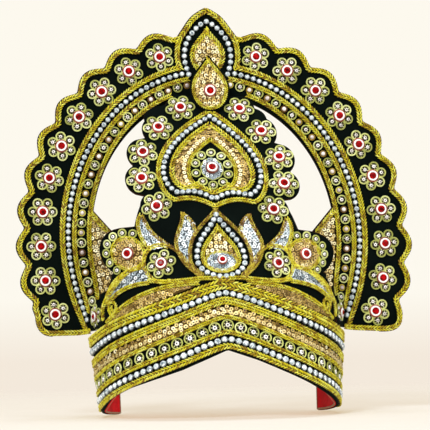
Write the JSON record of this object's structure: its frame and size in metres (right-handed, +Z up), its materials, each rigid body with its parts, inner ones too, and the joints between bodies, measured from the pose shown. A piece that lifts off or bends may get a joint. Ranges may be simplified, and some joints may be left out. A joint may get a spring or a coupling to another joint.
{
  "type": "costume crown",
  "caption": "Velvet costume crown with a scalloped halo board, a pointed medallion front and a brow band, dressed in gold braid, stone chain and wire flowers.",
  "frame": {"origin": "under the middle of the crown's box, on the surface that the rim stands on", "axes": "+Z up towards the finial, the front of the crown faces -Y, +X is to the right seen from the front"},
  "size_m": [0.277, 0.1168, 0.2859],
  "materials": {
    "velvet": "matt pile velvet over stiff board",
    "lining_satin": "satin",
    "zari_braid": "plaited metal thread",
    "stone_chain": "clear cut stones in silver cups",
    "sequin_work": "gold sequins and thread",
    "wire_flower": "wire petals round a red stone",
    "silver_work": "silver sequins and thread"
  },
  "bodies": {
    "root": {"halo_board": "velvet", "band_board": "velvet", "band_lining": "lining_satin", "front_panel": "velvet", "halo_edge_cord": "zari_braid", "ring_outer_cord_left": "zari_braid", "ring_stone_chain_left": "stone_chain", "ring_stud_band_left": "sequin_work", "halo_flower_left_1": "wire_flower", "halo_flower_left_2": "wire_flower", "halo_flower_left_3": "wire_flower", "halo_flower_left_4": "wire_flower", "halo_flower_left_5": "wire_flower", "halo_flower_left_6": "wire_flower", "halo_flower_left_7": "wire_flower", "halo_flower_left_8": "wire_flower", "halo_flower_left_9": "wire_flower", "halo_flower_left_10": "wire_flower", "flange_flower_left": "wire_flower", "ring_outer_cord_right": "zari_braid", "ring_stone_chain_right": "stone_chain", "ring_stud_band_right": "sequin_work", "halo_flower_right_1": "wire_flower", "halo_flower_right_2": "wire_flower", "halo_flower_right_3": "wire_flower", "halo_flower_right_4": "wire_flower", "halo_flower_right_5": "wire_flower", "halo_flower_right_6": "wire_flower", "halo_flower_right_7": "wire_flower", "halo_flower_right_8": "wire_flower", "halo_flower_right_9": "wire_flower", "halo_flower_right_10": "wire_flower", "flange_flower_right": "wire_flower", "finial_stone_chain": "stone_chain", "finial_leaf": "sequin_work", "finial_drop": "sequin_work", "medallion_outer_cord": "zari_braid", "medallion_stone_chain": "stone_chain", "medallion_sequin_border": "sequin_work", "medallion_rosette": "silver_work", "medallion_flower_left_1": "wire_flower", "medallion_flower_left_2": "wire_flower", "medallion_flower_left_3": "wire_flower", "medallion_flower_left_4": "wire_flower", "medallion_flower_left_5": "wire_flower", "medallion_flower_right_1": "wire_flower", "medallion_flower_right_2": "wire_flower", "medallion_flower_right_3": "wire_flower", "medallion_flower_right_4": "wire_flower", "medallion_flower_right_5": "wire_flower", "lotus_petals": "silver_work", "lotus_stone_chain": "stone_chain", "lotus_heart": "sequin_work", "spray_left": "sequin_work", "spray_right": "sequin_work", "band_upper_braid": "zari_braid", "band_upper_stone_chain": "stone_chain", "band_middle_braid": "sequin_work", "band_lower_stone_chain": "stone_chain", "band_lower_braid": "zari_braid"}
  },
  "joints": []
}
